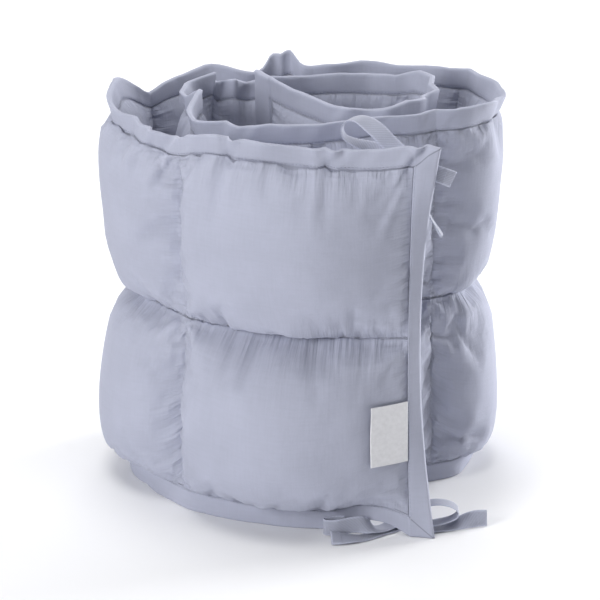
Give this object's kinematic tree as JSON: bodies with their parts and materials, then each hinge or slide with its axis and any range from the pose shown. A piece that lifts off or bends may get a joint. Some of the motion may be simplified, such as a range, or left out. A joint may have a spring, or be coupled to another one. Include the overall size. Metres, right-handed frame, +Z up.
{
  "type": "crib bumper",
  "caption": "Quilted cotton crib bumper, softly filled, rolled into a loose spiral and stood on its long edge, with flat hems, tape ties at its free end and a bare side label.",
  "frame": {"origin": "middle of the roll's outline, on the surface that it stands on", "axes": "+Z up, along the strip's height; -Y towards the viewer, on the side of the free end; +X to the viewer's right"},
  "size_m": [0.356, 0.3392, 0.3542],
  "materials": {
    "plain_cotton": "matt plain weave",
    "cotton_tape": "matt twill",
    "woven_label": "matt satin weave"
  },
  "bodies": {
    "root": {"bumper_strip": "plain_cotton", "side_label": "woven_label", "tie_top": "cotton_tape", "tie_bottom_back": "cotton_tape", "tie_bottom_front": "cotton_tape"}
  },
  "joints": []
}
